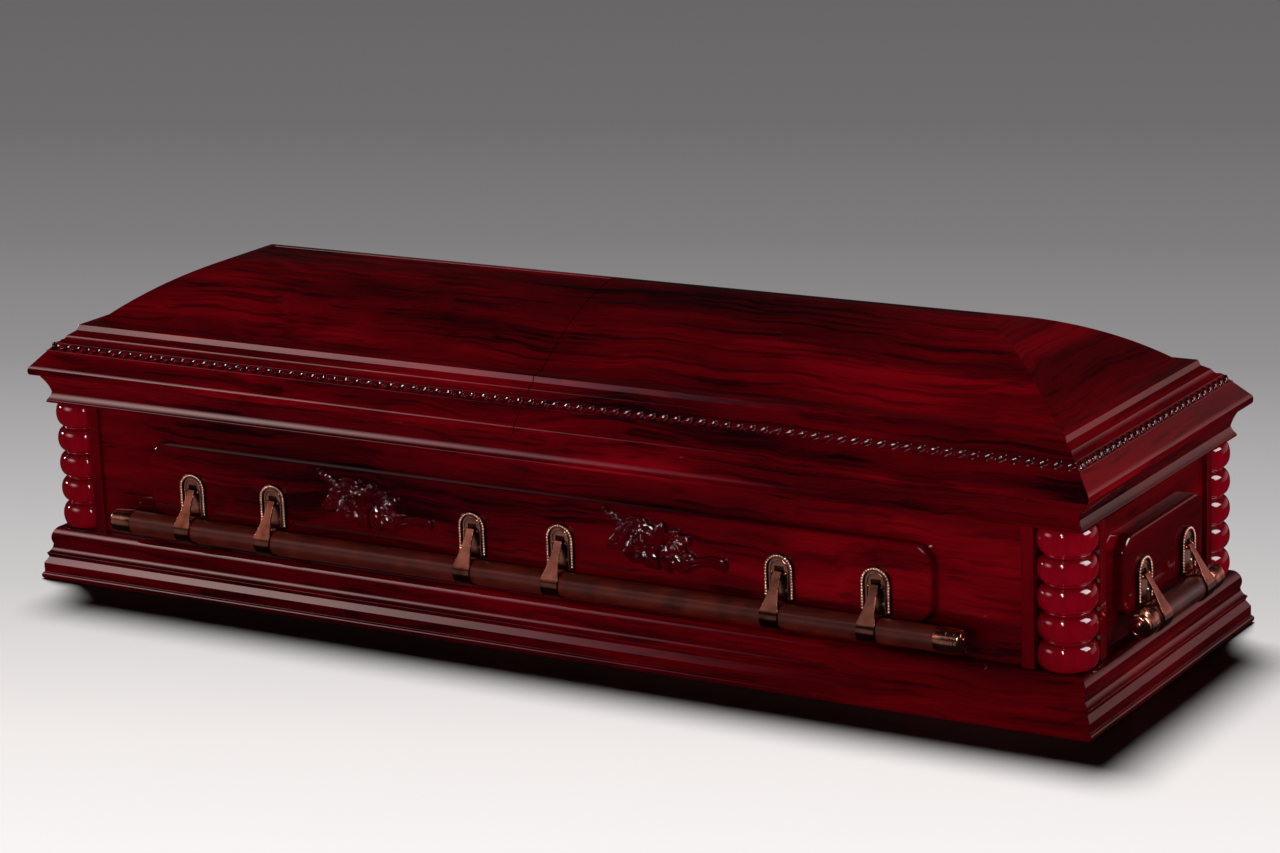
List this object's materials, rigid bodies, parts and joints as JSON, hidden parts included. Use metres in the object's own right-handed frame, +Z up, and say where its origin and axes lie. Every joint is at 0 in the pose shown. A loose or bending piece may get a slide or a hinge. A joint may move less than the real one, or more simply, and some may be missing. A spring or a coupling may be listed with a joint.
{
  "type": "funeral casket",
  "caption": "Wooden funeral casket with stepped base, bulged corner columns, hipped lid in two halves, rose carvings and swing bar handles.",
  "frame": {"origin": "middle of the underside, level with the floor", "axes": "+X along the length towards the right end, +Y to the back, +Z up; the carved front faces -Y"},
  "size_m": [2.1614, 0.7274, 0.586],
  "materials": {
    "lacquered_wood": "high-gloss rosewood-red lacquer with dark grain",
    "column_wood": "high-gloss crimson lacquer on turned wood",
    "carved_wood": "high-gloss dark lacquer on carving",
    "copper_plate": "polished antique copper plate with darkened recesses",
    "bar_tube": "satin brown enamel on the tube, copper plate on the tips"
  },
  "bodies": {
    "casket": {"base_moulding_front": "lacquered_wood", "base_moulding_right": "lacquered_wood", "base_moulding_back": "lacquered_wood", "base_moulding_left": "lacquered_wood", "floor_board": "lacquered_wood", "side_wall_front": "lacquered_wood", "end_wall_right": "lacquered_wood", "side_wall_back": "lacquered_wood", "end_wall_left": "lacquered_wood", "corner_column_front_right": "column_wood", "corner_column_back_right": "column_wood", "corner_column_back_left": "column_wood", "corner_column_front_left": "column_wood", "cornice_front": "lacquered_wood", "cornice_right": "lacquered_wood", "cornice_back": "lacquered_wood", "cornice_left": "lacquered_wood", "lid_half_left": "lacquered_wood", "lid_half_right": "lacquered_wood", "rose_spray_1": "carved_wood", "rose_spray_2": "carved_wood", "handle_lug_front_1": "copper_plate", "handle_lug_front_2": "copper_plate", "handle_lug_front_3": "copper_plate", "handle_lug_front_4": "copper_plate", "handle_lug_front_5": "copper_plate", "handle_lug_front_6": "copper_plate", "handle_lug_right_1": "copper_plate", "handle_lug_right_2": "copper_plate", "handle_lug_back_1": "copper_plate", "handle_lug_back_2": "copper_plate", "handle_lug_back_3": "copper_plate", "handle_lug_back_4": "copper_plate", "handle_lug_back_5": "copper_plate", "handle_lug_back_6": "copper_plate", "handle_lug_left_1": "copper_plate", "handle_lug_left_2": "copper_plate"},
    "front_handle": {"handle_bar_front": "bar_tube", "handle_arm_front_1": "copper_plate", "handle_arm_front_2": "copper_plate", "handle_arm_front_3": "copper_plate", "handle_arm_front_4": "copper_plate", "handle_arm_front_5": "copper_plate", "handle_arm_front_6": "copper_plate"},
    "right_handle": {"handle_bar_right": "bar_tube", "handle_arm_right_1": "copper_plate", "handle_arm_right_2": "copper_plate"},
    "back_handle": {"handle_bar_back": "bar_tube", "handle_arm_back_1": "copper_plate", "handle_arm_back_2": "copper_plate", "handle_arm_back_3": "copper_plate", "handle_arm_back_4": "copper_plate", "handle_arm_back_5": "copper_plate", "handle_arm_back_6": "copper_plate"},
    "left_handle": {"handle_bar_left": "bar_tube", "handle_arm_left_1": "copper_plate", "handle_arm_left_2": "copper_plate"}
  },
  "joints": [
    {"name": "front_handle_swing", "type": "hinge", "parent": "casket", "child": "front_handle", "pos_m": [0, -0.322, 0.203], "axis": [-1, 0, 0], "range_deg": [0, 75]},
    {"name": "right_handle_swing", "type": "hinge", "parent": "casket", "child": "right_handle", "pos_m": [1.039, 0, 0.203], "axis": [0, -1, 0], "range_deg": [0, 75]},
    {"name": "back_handle_swing", "type": "hinge", "parent": "casket", "child": "back_handle", "pos_m": [0, 0.322, 0.203], "axis": [1, 0, 0], "range_deg": [0, 75]},
    {"name": "left_handle_swing", "type": "hinge", "parent": "casket", "child": "left_handle", "pos_m": [-1.039, 0, 0.203], "axis": [0, 1, 0], "range_deg": [0, 75]}
  ]
}
